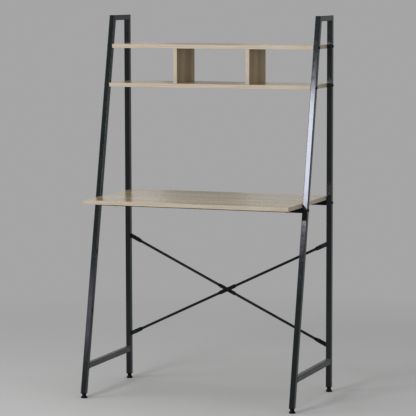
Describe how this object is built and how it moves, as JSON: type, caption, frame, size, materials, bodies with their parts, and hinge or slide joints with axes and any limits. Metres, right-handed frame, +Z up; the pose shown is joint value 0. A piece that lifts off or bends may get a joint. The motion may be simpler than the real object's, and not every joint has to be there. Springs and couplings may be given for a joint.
{
  "type": "ladder desk",
  "caption": "Ladder desk: leaning black tube side frames carry a pale wood-effect desk top, divided upper shelves and a crossed tube brace at the back.",
  "frame": {"origin": "on the floor, midway between the side frames and midway from the desk's front edge to the back of the rear feet", "axes": "+X to the sitter's right, +Y from the sitter to the back, +Z up"},
  "size_m": [0.8466, 0.46, 1.42],
  "materials": {
    "frame_paint": "semi-gloss black powder coat on steel tube",
    "board": "satin melamine-faced chipboard with a pale oak grain",
    "edging": "satin plastic edge band, a little pinker than the boards",
    "plug_plastic": "matt black moulded plastic",
    "foot_plastic": "matt black moulded plastic",
    "black_bolt": "black oxide steel",
    "zinc_steel": "bright zinc-plated steel"
  },
  "bodies": {
    "frame": {"left_front_leg": "frame_paint", "left_rear_leg": "frame_paint", "left_top_bar": "frame_paint", "left_stretcher": "frame_paint", "left_brace_tabs": "frame_paint", "right_front_leg": "frame_paint", "right_rear_leg": "frame_paint", "right_top_bar": "frame_paint", "right_stretcher": "frame_paint", "right_brace_tabs": "frame_paint", "front_desk_rail": "frame_paint", "rear_desk_rail": "frame_paint", "falling_brace": "frame_paint", "rising_brace": "frame_paint", "left_front_leg_plug": "plug_plastic", "left_rear_leg_plug": "plug_plastic", "right_front_leg_plug": "plug_plastic", "right_rear_leg_plug": "plug_plastic", "desk_top": "board", "desk_top_edging": "edging", "upper_shelf": "board", "upper_shelf_edging": "edging", "lower_shelf": "board", "lower_shelf_edging": "edging", "left_divider": "board", "left_divider_edging": "edging", "right_divider": "board", "right_divider_edging": "edging", "desk_rail_bolts": "black_bolt", "upper_shelf_bolts": "black_bolt", "lower_shelf_bolts": "black_bolt", "brace_end_bolts": "black_bolt", "brace_centre_bolt": "black_bolt", "desk_rail_nuts": "zinc_steel", "upper_shelf_dowels": "zinc_steel", "lower_shelf_dowels": "zinc_steel", "desk_top_screws": "zinc_steel", "upper_divider_screws": "zinc_steel", "lower_divider_screws": "zinc_steel", "brace_end_nuts": "zinc_steel", "brace_centre_nut": "zinc_steel"},
    "left_front_foot": {"left_front_foot_stem": "zinc_steel", "left_front_foot_pad": "foot_plastic"},
    "left_rear_foot": {"left_rear_foot_stem": "zinc_steel", "left_rear_foot_pad": "foot_plastic"},
    "right_front_foot": {"right_front_foot_stem": "zinc_steel", "right_front_foot_pad": "foot_plastic"},
    "right_rear_foot": {"right_rear_foot_stem": "zinc_steel", "right_rear_foot_pad": "foot_plastic"}
  },
  "joints": [
    {"name": "left_front_foot_screw", "type": "slide", "parent": "frame", "child": "left_front_foot", "axis": [0, 0, -1], "range_m": [0, 0.012]},
    {"name": "left_rear_foot_screw", "type": "slide", "parent": "frame", "child": "left_rear_foot", "axis": [0, 0, -1], "range_m": [0, 0.012]},
    {"name": "right_front_foot_screw", "type": "slide", "parent": "frame", "child": "right_front_foot", "axis": [0, 0, -1], "range_m": [0, 0.012]},
    {"name": "right_rear_foot_screw", "type": "slide", "parent": "frame", "child": "right_rear_foot", "axis": [0, 0, -1], "range_m": [0, 0.012]}
  ]
}
